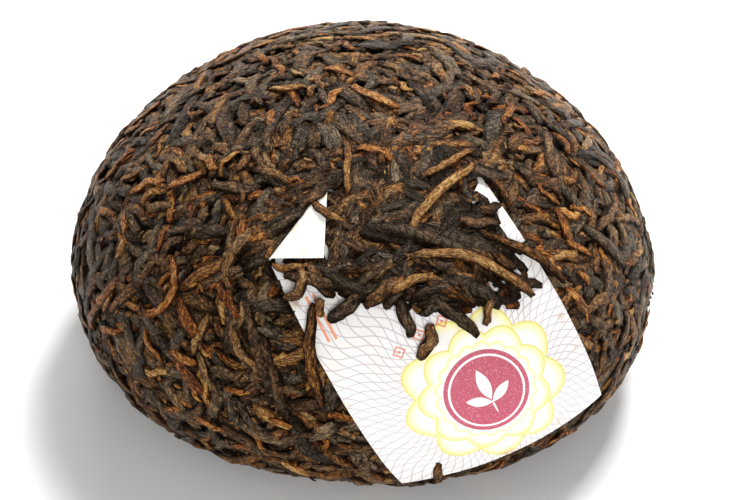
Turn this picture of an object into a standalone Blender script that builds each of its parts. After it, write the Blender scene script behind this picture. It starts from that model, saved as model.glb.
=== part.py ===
"""Pu-erh tuocha: a bowl-shaped cake of pressed, twisted tea leaves with a paper slip pressed in among them.

The cake is a thick turned shell with a deep hollow in its base, and it stands on the flat ring round that
hollow. The slip lies on the side of the cake that faces -Y: leaves cover its upper half, its lower half is
bare, and its upper left corner is folded over. Metres, +Z up. The origin is where the cake stands, under
the middle of its box.
"""

import math

import bmesh
import bpy
import numpy as np
from mathutils import Vector, noise

MM = 0.001

# The cake's half section, from the crown down over the belly, under the foot and up into the hollow.
RADIUS = 41.0 * MM
HEIGHT = 43.0 * MM
BELLY_HEIGHT = 14.5 * MM
FOOT_OUTER = 32.0 * MM
FOOT_INNER = 28.0 * MM
MOUTH_ROUNDING = 5.0 * MM
HOLLOW_DEPTH = 22.0 * MM

# A hand-pressed cake isn't quite round: its radius swells twice and three times round the circle.
OVAL_SHARE = 0.017
OVAL_AZIMUTH = math.radians(-49)
TRIANGLE_SHARE = 0.022
TRIANGLE_AZIMUTH = math.radians(85)

# The core lies this far under the outermost leaves and has shallow lumps of its own.
CORE_DEPTH = 1.1 * MM
CORE_SEGMENTS = 48
CORE_STEP = 4.6 * MM
FOOT_BLEND = 3.0 * MM
BED_REACH = 3.0 * MM
LUMP_HEIGHT = 0.5 * MM
LUMP_SIZE = 6.0 * MM

# The largest leaves show as pieces of their own: each pair is the smallest and the largest size.
LEAF_COUNT = 140
LEAF_LENGTH = (8.0 * MM, 19.0 * MM)
LEAF_WIDTH = (2.2 * MM, 4.0 * MM)
LEAF_THICKNESS = (1.8 * MM, 2.4 * MM)
LEAF_BEND = 0.9
LEAF_SEED = 21
LEAF_RANK_STEP = 47
FOOT_CLEARANCE = 0.9 * MM
HOLLOW_LEAF_SINK = 0.5 * MM

# Edges that joining leaves shorter than this are closed up.
CRUMB = 0.01 * MM

# The slip: a sheet whose flat coordinates are "across" and "along", from a point on its middle line that
# lies this far above its lower edge and below its upper edge.
SLIP_WIDTH = 32.0 * MM
SLIP_BELOW = 23.0 * MM
SLIP_ABOVE = 25.3 * MM
SLIP_THICKNESS = 0.35 * MM
SLIP_GAP = 0.3 * MM
SLIP_ARC = 39.3 * MM
SLIP_AZIMUTH = math.radians(-74.3)
SLIP_TILT = math.radians(18.8)
SLIP_CELLS = (8, 12)
SLIP_WALK_STEPS = 10
# A flat sheet can't follow a dome: its middle lines bow and it skews by this much at its lower corners.
SLIP_BOW_ACROSS = 1.3 * MM
SLIP_BOW_ALONG = 1.2 * MM
SLIP_SKEW = 1.1 * MM
# Its middle lies this far under the outermost leaves. Its lower edge rises from there, and its upper sinks.
SLIP_SINK = 0.25 * MM
SLIP_RISE = 0.95 * MM
# Its folded corner, measured from the corner down the left edge and along the upper edge.
EAR_DOWN = 8.4 * MM
EAR_ALONG = 14.0 * MM
EAR_BEND = 0.45 * MM
EAR_BEND_STEPS = 4
EAR_WELL = 3.0 * MM

# The mat of leaves over the upper half of the slip: its height, how deep it is rooted, how far it reaches
# past the slip's edges, how much higher single leaves lie on it, and the sweep of its lower edge.
MAT_HEIGHT = 1.3 * MM
MAT_ROOT = 1.4 * MM
MAT_OVERHANG = 3.2 * MM
MAT_LEAF_RISE = 0.45 * MM
MAT_LOWEST = -3.5 * MM
MAT_CLIMB = 18.5 * MM
MAT_CURVE = 2.2
MAT_SLOPE = 12
MAT_CELLS = (10, 7)

# The leaves that lie over the slip's face, largest first: flat place of the middle and length in mm,
# bearing in degrees from "across", and width in mm.
COVER_LEAVES = (
    (3.4, 8.7, -41, 20.6, 4.0),
    (-22.2, 5.2, -97, 21.7, 2.9),
    (6.8, 2.6, -46, 18.3, 1.9),
    (-15.9, 3.0, -108, 15.0, 1.8),
    (8.5, 12.8, -169, 14.5, 2.0),
    (13.1, 0.9, -58, 13.8, 1.8),
    (11.8, 16.5, 174, 9.1, 1.8),
    (0.9, -0.2, -62, 9.1, 2.0),
    (2.5, 3.2, -10, 8.6, 1.8),
    (-11.6, 11.9, -40, 8.2, 2.0),
    (-9.8, 7.0, -160, 5.9, 2.1),
    (-3.1, -1.5, -141, 4.8, 2.0),
    (-4.0, 2.1, -96, 4.8, 1.8),
    (-15.4, -20.0, -41, 5.4, 2.3),
)
COVER_THICKNESS = 1.5 * MM
COVER_HEIGHT = 0.9 * MM
COVER_BEND = 0.35


# ---------------------------------------------------------------- the surface that the leaves make

def half_section():
    """Arc length, radius and height of points along the half section."""
    turn = np.linspace(0.0, math.pi / 2, 120)
    sine, cosine = np.sin(turn), np.cos(turn)
    bore = FOOT_INNER - MOUTH_ROUNDING
    dome = (RADIUS * sine, BELLY_HEIGHT + (HEIGHT - BELLY_HEIGHT) * cosine)
    under = (FOOT_OUTER + (RADIUS - FOOT_OUTER) * cosine, BELLY_HEIGHT * (1 - sine))
    foot = (np.linspace(FOOT_OUTER, FOOT_INNER, 9), np.zeros(9))
    mouth = (FOOT_INNER - MOUTH_ROUNDING * sine, MOUTH_ROUNDING * (1 - cosine))
    roof = (bore * cosine, MOUTH_ROUNDING + (HOLLOW_DEPTH - MOUTH_ROUNDING) * sine)
    stretches = [np.column_stack(stretch) for stretch in (dome, under, foot, mouth, roof)]
    line = np.concatenate([stretches[0]] + [stretch[1:] for stretch in stretches[1:]])
    steps = np.linalg.norm(np.diff(line, axis=0), axis=1)
    return np.concatenate(([0.0], np.cumsum(steps))), line[:, 0], line[:, 1]


ARC, SECTION_RADIUS, SECTION_HEIGHT = half_section()
FOOT_ARC = ARC[np.argmin(SECTION_HEIGHT)]


def swell(azimuth):
    oval = OVAL_SHARE * np.cos(2 * (azimuth - OVAL_AZIMUTH))
    return 1 + oval + TRIANGLE_SHARE * np.cos(3 * (azimuth - TRIANGLE_AZIMUTH))


def surface(arc, azimuth):
    radius = np.interp(arc, ARC, SECTION_RADIUS) * swell(azimuth)
    height = np.interp(arc, ARC, SECTION_HEIGHT)
    return np.stack((radius * np.cos(azimuth), radius * np.sin(azimuth), height), axis=-1)


def normal(arc, azimuth):
    """Outward normal: the cross product of a step down the section and a step round the circle."""
    step, turn = 0.1 * MM, 0.002
    arc = np.clip(arc, step, ARC[-1] - step)
    down = surface(arc + step, azimuth) - surface(arc - step, azimuth)
    across = surface(arc, azimuth + turn) - surface(arc, azimuth - turn)
    outward = np.cross(down, across)
    return outward / np.linalg.norm(outward, axis=-1, keepdims=True)


def nearest(point):
    """Arc length and azimuth of the surface point nearest to each point, in the point's own half section."""
    azimuth = np.arctan2(point[..., 1], point[..., 0])
    radius = np.hypot(point[..., 0], point[..., 1]) / swell(azimuth)
    height = point[..., 2]
    middle_r = (SECTION_RADIUS[1:] + SECTION_RADIUS[:-1]) / 2
    middle_z = (SECTION_HEIGHT[1:] + SECTION_HEIGHT[:-1]) / 2
    index = np.argmin((radius[..., None] - middle_r) ** 2 + (height[..., None] - middle_z) ** 2, axis=-1)
    run_r = np.diff(SECTION_RADIUS)[index]
    run_z = np.diff(SECTION_HEIGHT)[index]
    along = (radius - SECTION_RADIUS[index]) * run_r + (height - SECTION_HEIGHT[index]) * run_z
    share = np.clip(along / (run_r ** 2 + run_z ** 2), 0, 1)
    return ARC[index] + share * np.diff(ARC)[index], azimuth


def walk(arc, azimuth, heading, step, turn=0.0):
    """One step over the surface along a heading, which stays tangent and turns by an angle."""
    arc, azimuth = nearest(surface(arc, azimuth) + heading * np.asarray(step)[..., None])
    up = normal(arc, azimuth)
    heading = heading - up * np.sum(heading * up, axis=-1, keepdims=True)
    heading = heading / np.linalg.norm(heading, axis=-1, keepdims=True)
    return arc, azimuth, heading * math.cos(turn) + np.cross(up, heading) * math.sin(turn)


def bearing_to_heading(arc, azimuth, bearing):
    """Unit tangent at an angle from the direction round the circle, turned towards the crown."""
    up = normal(arc, azimuth)
    round_way = np.stack((-np.sin(azimuth), np.cos(azimuth), np.zeros_like(azimuth)), axis=-1)
    round_way = round_way - up * np.sum(round_way * up, axis=-1, keepdims=True)
    round_way = round_way / np.linalg.norm(round_way, axis=-1, keepdims=True)
    climb = np.cross(up, round_way)
    return round_way * np.cos(bearing)[..., None] + climb * np.sin(bearing)[..., None]


# ---------------------------------------------------------------- the slip's place on that surface

def slip_place(across, along):
    """Arc length and azimuth under points of the slip, given in its flat coordinates."""
    u = across / (SLIP_WIDTH / 2)
    v = along / SLIP_BELOW
    across = across + SLIP_BOW_ACROSS * v ** 2
    along = along + SLIP_BOW_ALONG * u ** 2 + SLIP_SKEW * u * v
    distance = np.hypot(across, along)
    arc = np.full_like(distance, SLIP_ARC)
    azimuth = np.full_like(distance, SLIP_AZIMUTH)
    heading = bearing_to_heading(arc, azimuth, np.arctan2(along, across) + SLIP_TILT)
    for _ in range(SLIP_WALK_STEPS):
        arc, azimuth, heading = walk(arc, azimuth, heading, distance / SLIP_WALK_STEPS)
    return arc, azimuth


def slip_offset(along):
    """Height of the slip's middle over the leaves' surface: it falls towards its upper edge."""
    return -SLIP_SINK - SLIP_RISE * along / SLIP_BELOW


def on_slip(across, along, height):
    """World points at a height over the unfolded slip."""
    arc, azimuth = slip_place(across, along)
    return surface(arc, azimuth) + normal(arc, azimuth) * (slip_offset(along) + height)[..., None]


EAR_START = np.array((-SLIP_WIDTH / 2, SLIP_ABOVE - EAR_DOWN))
EAR_OUT = np.array((-EAR_DOWN, EAR_ALONG)) / math.hypot(EAR_ALONG, EAR_DOWN)


def past_fold(across, along):
    """Distance of flat points beyond the line along which the corner folds."""
    return (across - EAR_START[0]) * EAR_OUT[0] + (along - EAR_START[1]) * EAR_OUT[1]


def folded_slip(across, along, height):
    """World points of the slip with its corner folded over: a half turn round the bend, then flat on top."""
    past = past_fold(across, along)
    half_turn = math.pi * EAR_BEND
    angle = np.clip(past, 0, half_turn) / EAR_BEND
    out = np.minimum(past, 0) + (EAR_BEND - height) * np.sin(angle) - np.maximum(past - half_turn, 0)
    raised = EAR_BEND - (EAR_BEND - height) * np.cos(angle)
    return on_slip(across + (out - past) * EAR_OUT[0], along + (out - past) * EAR_OUT[1], raised)


def slip_grid():
    """Flat coordinates and world points over the slip, a millimetre apart, for finding what is near it."""
    reach = ((SLIP_WIDTH / 2, SLIP_WIDTH / 2), (SLIP_BELOW, SLIP_ABOVE))
    spread = [np.arange(-low, high + MM / 2, MM) for low, high in reach]
    across, along = (part.ravel() for part in np.meshgrid(*spread))
    return across, along, on_slip(across, along, np.zeros_like(across))


SLIP_ACROSS, SLIP_ALONG, SLIP_POINTS = slip_grid()


def near_slip(points):
    """Distance of each point to the slip, and the slip's flat coordinates there."""
    distance = np.linalg.norm(points[:, None, :] - SLIP_POINTS[None, :, :], axis=-1)
    index = np.argmin(distance, axis=1)
    return distance.min(axis=1), SLIP_ACROSS[index], SLIP_ALONG[index]


def mat_edge(across):
    """The "along" coordinate at which the leaves that cover the slip end: it sweeps down to the right."""
    share = np.clip(0.5 - across / SLIP_WIDTH, 0, 1.1)
    return MAT_LOWEST + MAT_CLIMB * share ** MAT_CURVE


# ---------------------------------------------------------------- making meshes

def reshape(bm, place):
    """Moves every vertex of a bmesh to place(x, y, z), worked out for all of them at once."""
    flat = np.array([vertex.co for vertex in bm.verts])
    for vertex, point in zip(bm.verts, place(flat[:, 0], flat[:, 1], flat[:, 2])):
        vertex.co = Vector(point)


def finish(bm, name, collection):
    """Writes a closed bmesh to a new object, with its faces pointing out."""
    bmesh.ops.recalc_face_normals(bm, faces=bm.faces)
    if bm.calc_volume(signed=True) < 0:
        bmesh.ops.reverse_faces(bm, faces=bm.faces)
    mesh = bpy.data.meshes.new(name)
    bm.to_mesh(mesh)
    bm.free()
    made = bpy.data.objects.new(name, mesh)
    collection.objects.link(made)
    return made


def unit_sheet(cells):
    """A flat grid of this many cells at height -1, one unit wide and long."""
    bm = bmesh.new()
    bmesh.ops.create_grid(bm, x_segments=cells[0], y_segments=cells[1], size=0.5)
    bmesh.ops.translate(bm, verts=bm.verts, vec=(0.0, 0.0, -1.0))
    return bm


def slip_sheet(grow=0.0):
    """A flat grid at height -1 with the slip's outline, grown by a margin."""
    bm = unit_sheet(SLIP_CELLS)
    middle = (SLIP_ABOVE - SLIP_BELOW) / 2
    for vertex in bm.verts:
        vertex.co.x *= SLIP_WIDTH + 2 * grow
        vertex.co.y = vertex.co.y * (SLIP_ABOVE + SLIP_BELOW + 2 * grow) + middle
    return bm


def thicken(bm):
    """Turns a flat sheet at height -1 into a closed slab up to height 1, with the same triangles on both."""
    bmesh.ops.triangulate(bm, faces=bm.faces)
    raised = bmesh.ops.extrude_face_region(bm, geom=list(bm.faces), use_keep_orig=True)
    for item in raised["geom"]:
        if isinstance(item, bmesh.types.BMVert):
            item.co.z = 1.0


def cut_flat(bm, past, clear=False):
    """Cuts a flat sheet along a line that lies this far past the fold, and may clear what is nearer."""
    through = EAR_START + EAR_OUT * past
    everything = list(bm.verts) + list(bm.edges) + list(bm.faces)
    bmesh.ops.bisect_plane(bm, geom=everything, dist=0.001 * MM, plane_co=(*through, -1.0),
                           plane_no=(*EAR_OUT, 0.0), clear_inner=clear)


def paint(made, name, colour, roughness):
    material = bpy.data.materials.new(name)
    material.use_nodes = True
    shader = material.node_tree.nodes["Principled BSDF"]
    shader.inputs["Base Color"].default_value = (*colour, 1.0)
    shader.inputs["Roughness"].default_value = roughness
    made.data.materials.clear()
    made.data.materials.append(material)
    made.data.shade_smooth()
    made.data.set_sharp_from_angle(angle=math.radians(40))


# ---------------------------------------------------------------- the core

def core_depth(arc, azimuth):
    """Depth of the core under the leaves' surface: none on the foot, and a smooth bed under the slip."""
    points = surface(arc, azimuth)
    off_foot = np.clip(points[:, 2] / FOOT_BLEND, 0, 1)
    lumps = LUMP_HEIGHT * np.array([noise.noise(Vector(point) / LUMP_SIZE) for point in points])
    distance, _, along = near_slip(points)
    bed = np.clip(1.4 - distance / BED_REACH, 0, 1) * (arc < FOOT_ARC)
    bed_depth = SLIP_GAP - slip_offset(along)
    return off_foot * ((CORE_DEPTH - lumps) * (1 - bed) + bed_depth * bed)


def core(collection):
    """A disc of rings, whose radius stands for arc length, wrapped into the cake's turned shape."""
    stops = np.linspace(0, ARC[-1], int(round(ARC[-1] / CORE_STEP)) + 1)
    for edge in (FOOT_ARC, FOOT_ARC + FOOT_OUTER - FOOT_INNER):
        stops[np.argmin(np.abs(stops - edge))] = edge
    bm = bmesh.new()
    line = [bm.verts.new((arc, 0.0, 0.0)) for arc in stops]
    for first, second in zip(line, line[1:]):
        bm.edges.new((first, second))
    bmesh.ops.spin(bm, geom=list(bm.verts) + list(bm.edges), axis=(0, 0, 1), cent=(0, 0, 0),
                   steps=CORE_SEGMENTS, angle=2 * math.pi)
    bmesh.ops.remove_doubles(bm, verts=bm.verts, dist=0.001 * MM)
    rim = [vertex for vertex in bm.verts if vertex.co.length > stops[-2] + MM]
    bmesh.ops.pointmerge(bm, verts=rim, merge_co=(ARC[-1], 0, 0))

    def place(x, y, _):
        arc, azimuth = np.hypot(x, y), np.arctan2(y, x)
        return surface(arc, azimuth) - normal(arc, azimuth) * core_depth(arc, azimuth)[:, None]

    reshape(bm, place)
    return finish(bm, "tea_cake", collection)


# ---------------------------------------------------------------- the leaves

# Stations along a leaf as shares of its half length, each with its share of the full width.
LEAF_STATIONS = ((-1.0, 0.0), (-0.9, 0.62), (-0.35, 1.0), (0.4, 0.95), (0.9, 0.55), (1.0, 0.0))


def leaf_path(arc, azimuth, bearing, length, bend):
    """Points, headings and normals at a leaf's stations, along a bent path over the surface."""
    arc, azimuth = np.array([arc]), np.array([azimuth])
    heading = bearing_to_heading(arc, azimuth, np.array([bearing]))
    arc, azimuth, heading = walk(arc, azimuth, -heading, length / 4, -bend / 4)
    arc, azimuth, heading = walk(arc, azimuth, heading, length / 4, -bend / 4)
    heading = -heading
    found = []
    for here, station in enumerate(LEAF_STATIONS):
        found.append((surface(arc, azimuth)[0], heading[0], normal(arc, azimuth)[0]))
        share = (LEAF_STATIONS[min(here + 1, len(LEAF_STATIONS) - 1)][0] - station[0]) / 2
        arc, azimuth, heading = walk(arc, azimuth, heading, length * share, bend * share)
    return [np.array(part) for part in zip(*found)]


def leaf(name, collection, path, size, lift):
    """A flattened leaf with a flat top: a ball of four sides whose rings go to the path's stations."""
    _, width, thickness = size
    bm = bmesh.new()
    bmesh.ops.create_uvsphere(bm, u_segments=4, v_segments=len(LEAF_STATIONS) - 1, radius=1.0)
    levels = sorted({round(vertex.co.z, 4) for vertex in bm.verts})
    middles, headings, normals = path
    shares = np.array([share for _, share in LEAF_STATIONS])

    def place(x, y, z):
        index = np.searchsorted(levels, np.round(z, 4))
        side = np.cross(normals, headings)[index]
        angle = np.arctan2(y, x) + math.pi / 4
        share = shares[index] * math.sqrt(2)
        across = np.cos(angle) * share * width / 2
        over = np.sin(angle) * share * thickness / 2 + lift
        return middles[index] + side * across[:, None] + normals[index] * over[:, None]

    reshape(bm, place)
    return finish(bm, name, collection)


def resting_height(path, size):
    """Height of a leaf's middle over the surface, or None if it would cross the foot or the bare slip."""
    points = path[0]
    distance, across, along = near_slip(points)
    over_slip = distance < size[1]
    covered = (along > mat_edge(across) + size[1]) & (past_fold(across, along) < -EAR_DOWN)
    if points[:, 2].min() < FOOT_CLEARANCE + size[2] / 4 or np.any(over_slip & ~covered):
        return None
    if over_slip.any():
        return slip_offset(along[over_slip].mean()) + MAT_HEIGHT + MAT_LEAF_RISE - size[2] / 2
    in_hollow = nearest(points)[0].mean() > FOOT_ARC
    return -size[2] / 2 - (HOLLOW_LEAF_SINK if in_hollow else 0)


def scattered_leaves(collection):
    """Leaves on a golden-angle spiral over dome, belly and hollow, the largest spread out among the rest."""
    draw = np.random.default_rng(LEAF_SEED)
    golden = math.pi * (3 - math.sqrt(5))
    ring_area = np.concatenate(([0.0], np.cumsum(SECTION_RADIUS[:-1] * np.diff(ARC))))
    for index in range(LEAF_COUNT):
        rank = (index * LEAF_RANK_STEP) % LEAF_COUNT
        arc = np.interp((rank + 0.5) / LEAF_COUNT, ring_area / ring_area[-1], ARC)
        smallness = index / LEAF_COUNT
        size = [largest + (smallest - largest) * smallness * draw.uniform(0.7, 1.0)
                for smallest, largest in (LEAF_LENGTH, LEAF_WIDTH, LEAF_THICKNESS)]
        bearing, bend = draw.uniform(0, math.pi), draw.uniform(-LEAF_BEND, LEAF_BEND)
        # A leaf that doesn't fit as drawn lies round the circle or up the slope instead, or else is left out.
        for turned in (bearing, 0.0, math.pi / 2):
            path = leaf_path(arc, rank * golden, turned, size[0], bend)
            height = resting_height(path, size)
            if height is not None:
                leaf(f"leaf_{index}", collection, path, size, height)
                break


def cover_leaves(collection):
    """The leaves that lie over the slip's face, placed in its flat coordinates."""
    for index, (across, along, bearing, length, width) in enumerate(COVER_LEAVES):
        across, along = np.array([across * MM]), np.array([along * MM])
        (arc,), (azimuth,) = slip_place(across, along)
        size = (length * MM, width * MM, COVER_THICKNESS)
        bend = COVER_BEND * (-1) ** index
        path = leaf_path(arc, azimuth, math.radians(bearing) + SLIP_TILT, size[0], bend)
        leaf(f"cover_leaf_{index}", collection, path, size, slip_offset(along)[0] + COVER_HEIGHT)


# ---------------------------------------------------------------- the slip, its slot and its mat of leaves

def slip(collection):
    bm = slip_sheet()
    for share in np.linspace(0, 1, EAR_BEND_STEPS + 1):
        cut_flat(bm, share * math.pi * EAR_BEND)
    thicken(bm)
    reshape(bm, lambda x, y, z: folded_slip(x, y, z * SLIP_THICKNESS / 2))
    return finish(bm, "paper_slip", collection)


def slot(collection):
    """The room that the unfolded slip takes, with the gap all round it."""
    room = SLIP_THICKNESS / 2 + SLIP_GAP
    bm = slip_sheet(SLIP_GAP)
    thicken(bm)
    reshape(bm, lambda x, y, z: on_slip(x, y, z * room))
    return finish(bm, "slot", collection)


def ear_well(collection):
    """The room over the slip that the folded corner and its bend take, open to the top."""
    margin = EAR_BEND + SLIP_THICKNESS / 2 + SLIP_GAP
    bm = slip_sheet(SLIP_GAP)
    cut_flat(bm, -margin, clear=True)
    thicken(bm)

    def place(x, y, z):
        across = x - 2 * past_fold(x, y) * EAR_OUT[0]
        along = y - 2 * past_fold(x, y) * EAR_OUT[1]
        return on_slip(across, along, np.where(z > 0, EAR_WELL, 0.0))

    reshape(bm, place)
    return finish(bm, "ear_well", collection)


def mat(collection):
    """A low mound over the upper half of the slip, rooted in the core past the slip's other three edges."""
    bm = unit_sheet(MAT_CELLS)
    thicken(bm)
    half_width = SLIP_WIDTH / 2 + MAT_OVERHANG
    top = SLIP_ABOVE + MAT_OVERHANG

    def place(x, y, z):
        across = 2 * x * half_width
        along = mat_edge(across) + (top - mat_edge(across)) * (y + 0.5)
        inward = np.clip(MAT_SLOPE * np.minimum(0.5 - np.abs(x), 0.5 - y), 0, 1)
        height = np.where(z > 0, MAT_HEIGHT * inward - MAT_ROOT * (1 - inward), -MAT_ROOT - SLIP_GAP)
        return on_slip(across, along, height)

    reshape(bm, place)
    return finish(bm, "mat", collection)


# ---------------------------------------------------------------- joining

def join(cake, collection, operation):
    """Applies one Boolean with every object of a collection, and removes them."""
    modifier = cake.modifiers.new(operation.lower(), "BOOLEAN")
    modifier.operation = operation
    modifier.operand_type = "COLLECTION"
    modifier.collection = collection
    graph = bpy.context.evaluated_depsgraph_get()
    joined = bpy.data.meshes.new_from_object(cake.evaluated_get(graph))
    cake.modifiers.remove(modifier)
    cake.data = joined
    for item in list(collection.objects):
        bpy.data.objects.remove(item, do_unlink=True)
    bpy.data.collections.remove(collection)


def keep_largest_shell(made):
    """Closes slivers, drops scraps and fills sealed hollows: the shell with the most vertices stays."""
    bm = bmesh.new()
    bm.from_mesh(made.data)
    bmesh.ops.remove_doubles(bm, verts=bm.verts, dist=CRUMB)
    left = set(bm.verts)
    shells = []
    while left:
        front = [left.pop()]
        shell = []
        while front:
            vertex = front.pop()
            shell.append(vertex)
            linked = {edge.other_vert(vertex) for edge in vertex.link_edges} & left
            left -= linked
            front.extend(linked)
        shells.append(shell)
    shells.sort(key=len)
    bmesh.ops.delete(bm, geom=[vertex for shell in shells[:-1] for vertex in shell], context="VERTS")
    bm.to_mesh(made.data)
    bm.free()


def centre(objects):
    """Shifts the finished meshes so that the middle of their common box is over the origin."""
    corners = np.array([vertex.co for made in objects for vertex in made.data.vertices])
    middle = (corners.max(axis=0) + corners.min(axis=0)) / 2
    for made in objects:
        for vertex in made.data.vertices:
            vertex.co.x -= middle[0]
            vertex.co.y -= middle[1]


def main():
    for item in list(bpy.data.objects):
        bpy.data.objects.remove(item, do_unlink=True)
    scene = bpy.context.scene.collection
    leaves = bpy.data.collections.new("leaves")
    rooms = bpy.data.collections.new("rooms")
    scene.children.link(leaves)
    scene.children.link(rooms)
    cake = core(scene)
    scattered_leaves(leaves)
    mat(leaves)
    cover_leaves(leaves)
    slot(rooms)
    ear_well(rooms)
    join(cake, leaves, "UNION")
    join(cake, rooms, "DIFFERENCE")
    keep_largest_shell(cake)
    paper = slip(scene)
    centre((cake, paper))
    paint(cake, "tea_leaf", (0.05, 0.032, 0.02), 0.5)
    paint(paper, "slip_paper", (0.85, 0.83, 0.80), 0.8)


main()
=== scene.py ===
# %% [markdown]
# # A pu-erh tuocha
# A tuocha is tea pressed into a bowl: leaves are steamed until they are limp, packed into a cloth
# and pressed over a rounded block, which leaves a domed cake with a deep hollow in its base. It
# is a few thousand dark twisted leaves, pressed flush, with black gaps between them, and a printed
# paper slip lies among the top ones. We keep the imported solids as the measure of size, and build
# the leaves and the paper over the same surface.

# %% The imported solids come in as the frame
import math

import bmesh
import bpy
import numpy as np
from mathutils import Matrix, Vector, kdtree, noise


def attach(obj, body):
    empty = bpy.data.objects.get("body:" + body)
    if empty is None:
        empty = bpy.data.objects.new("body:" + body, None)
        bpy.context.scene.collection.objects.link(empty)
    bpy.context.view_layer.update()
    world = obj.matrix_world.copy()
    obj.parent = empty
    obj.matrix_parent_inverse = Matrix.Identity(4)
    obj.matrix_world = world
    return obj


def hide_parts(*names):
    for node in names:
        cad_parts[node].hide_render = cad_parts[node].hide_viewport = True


MM = 0.001
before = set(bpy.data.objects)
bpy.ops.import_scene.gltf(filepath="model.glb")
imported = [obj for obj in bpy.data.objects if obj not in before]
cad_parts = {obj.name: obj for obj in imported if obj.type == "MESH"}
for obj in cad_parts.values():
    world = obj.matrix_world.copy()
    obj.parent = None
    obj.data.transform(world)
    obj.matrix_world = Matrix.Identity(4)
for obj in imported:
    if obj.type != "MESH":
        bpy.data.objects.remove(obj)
bpy.ops.object.select_all(action="DESELECT")
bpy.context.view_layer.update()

# %% [markdown]
# ## The surface that everything lies on
# The cake is a turned shape, so a half section and an angle round the axis give any place on it.
# We measure arc length along the half section, from the crown outwards, because a leaf keeps its
# length on it. The press leaves the circle a little out of round, so the radius swells twice and
# three times on the way round.

# %% The half section, from the crown to the roof of the hollow
RADIUS, HEIGHT, BELLY_HEIGHT = 41.0 * MM, 43.0 * MM, 14.5 * MM
FOOT_OUTER, FOOT_INNER = 32.0 * MM, 28.0 * MM
MOUTH_ROUNDING, HOLLOW_DEPTH = 5.0 * MM, 22.0 * MM
AXIS = np.array((0.086, -0.571, 0.0)) * MM


def half_section():
    """Arc length, radius and height of points along the half section."""
    turn = np.linspace(0.0, math.pi / 2, 120)
    sine, cosine = np.sin(turn), np.cos(turn)
    bore = FOOT_INNER - MOUTH_ROUNDING
    dome = (RADIUS * sine, BELLY_HEIGHT + (HEIGHT - BELLY_HEIGHT) * cosine)
    under = (FOOT_OUTER + (RADIUS - FOOT_OUTER) * cosine, BELLY_HEIGHT * (1 - sine))
    foot = (np.linspace(FOOT_OUTER, FOOT_INNER, 9), np.zeros(9))
    mouth = (FOOT_INNER - MOUTH_ROUNDING * sine, MOUTH_ROUNDING * (1 - cosine))
    roof = (bore * cosine, MOUTH_ROUNDING + (HOLLOW_DEPTH - MOUTH_ROUNDING) * sine)
    stretches = [np.column_stack(stretch) for stretch in (dome, under, foot, mouth, roof)]
    line = np.concatenate([stretches[0]] + [stretch[1:] for stretch in stretches[1:]])
    steps = np.linalg.norm(np.diff(line, axis=0), axis=1)
    return np.concatenate(([0.0], np.cumsum(steps))), line[:, 0], line[:, 1]


ARC, SECTION_RADIUS, SECTION_HEIGHT = half_section()
print("arc length from the crown to the roof of the hollow:", round(ARC[-1] / MM, 1), "mm")

# %% Places and directions on the surface
OVAL_SHARE, OVAL_AZIMUTH = 0.017, math.radians(-49)
TRIANGLE_SHARE, TRIANGLE_AZIMUTH = 0.022, math.radians(85)


def swell(azimuth):
    """How far the cake reaches at an azimuth, as a share of a true circle's radius."""
    oval = OVAL_SHARE * np.cos(2 * (azimuth - OVAL_AZIMUTH))
    return 1 + oval + TRIANGLE_SHARE * np.cos(3 * (azimuth - TRIANGLE_AZIMUTH))


def surface(arc, azimuth):
    radius = np.interp(arc, ARC, SECTION_RADIUS) * swell(azimuth)
    height = np.interp(arc, ARC, SECTION_HEIGHT)
    return np.stack((radius * np.cos(azimuth), radius * np.sin(azimuth), height), axis=-1) + AXIS


def unit(vectors):
    return vectors / np.maximum(np.linalg.norm(vectors, axis=-1, keepdims=True), 1e-12)


def normal(arc, azimuth):
    """Outward normals, from a step down the section and a step round the circle."""
    step, turn = 0.1 * MM, 0.002
    arc = np.clip(arc, step, ARC[-1] - step)
    down = surface(arc + step, azimuth) - surface(arc - step, azimuth)
    across = surface(arc, azimuth + turn) - surface(arc, azimuth - turn)
    return unit(np.cross(down, across))


def nearest(point):
    """Arc length and azimuth of the surface point nearest to each point."""
    x, y, height = np.moveaxis(point - AXIS, -1, 0)
    azimuth = np.arctan2(y, x)
    radius = np.hypot(x, y) / swell(azimuth)
    middle_r, middle_z = [(ends[1:] + ends[:-1]) / 2 for ends in (SECTION_RADIUS, SECTION_HEIGHT)]
    apart = (radius[..., None] - middle_r) ** 2 + (height[..., None] - middle_z) ** 2
    index = np.argmin(apart, axis=-1)
    run_r, run_z = np.diff(SECTION_RADIUS)[index], np.diff(SECTION_HEIGHT)[index]
    along = (radius - SECTION_RADIUS[index]) * run_r + (height - SECTION_HEIGHT[index]) * run_z
    share = np.clip(along / (run_r ** 2 + run_z ** 2), 0, 1)
    return ARC[index] + share * np.diff(ARC)[index], azimuth


# %% Walking over the surface
def flatten(heading, up):
    return unit(heading - up * np.sum(heading * up, axis=-1, keepdims=True))


def walk(arc, azimuth, heading, step, turn=0.0):
    """One step over the surface along a heading, which stays tangent and turns by an angle."""
    arc, azimuth = nearest(surface(arc, azimuth) + heading * np.asarray(step)[..., None])
    up = normal(arc, azimuth)
    heading = flatten(heading, up)
    turn = np.asarray(turn)[..., None]
    return arc, azimuth, heading * np.cos(turn) + np.cross(up, heading) * np.sin(turn)


def bearing_to_heading(arc, azimuth, bearing):
    """Unit tangent at an angle from the direction round the circle, turned towards the crown."""
    up = normal(arc, azimuth)
    level = np.stack((-np.sin(azimuth), np.cos(azimuth), np.zeros_like(azimuth)), axis=-1)
    round_way = flatten(level, up)
    climb = np.cross(up, round_way)
    return round_way * np.cos(bearing)[..., None] + climb * np.sin(bearing)[..., None]


# %% [markdown]
# ## Where the slip lies
# A sheet of paper can't follow a dome exactly. It starts flat, its points are walked over the
# surface from one place, and its edges bow and skew a little. Its lower edge lies on the leaves,
# its upper edge runs down under them, and its upper left corner is folded over.

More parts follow.
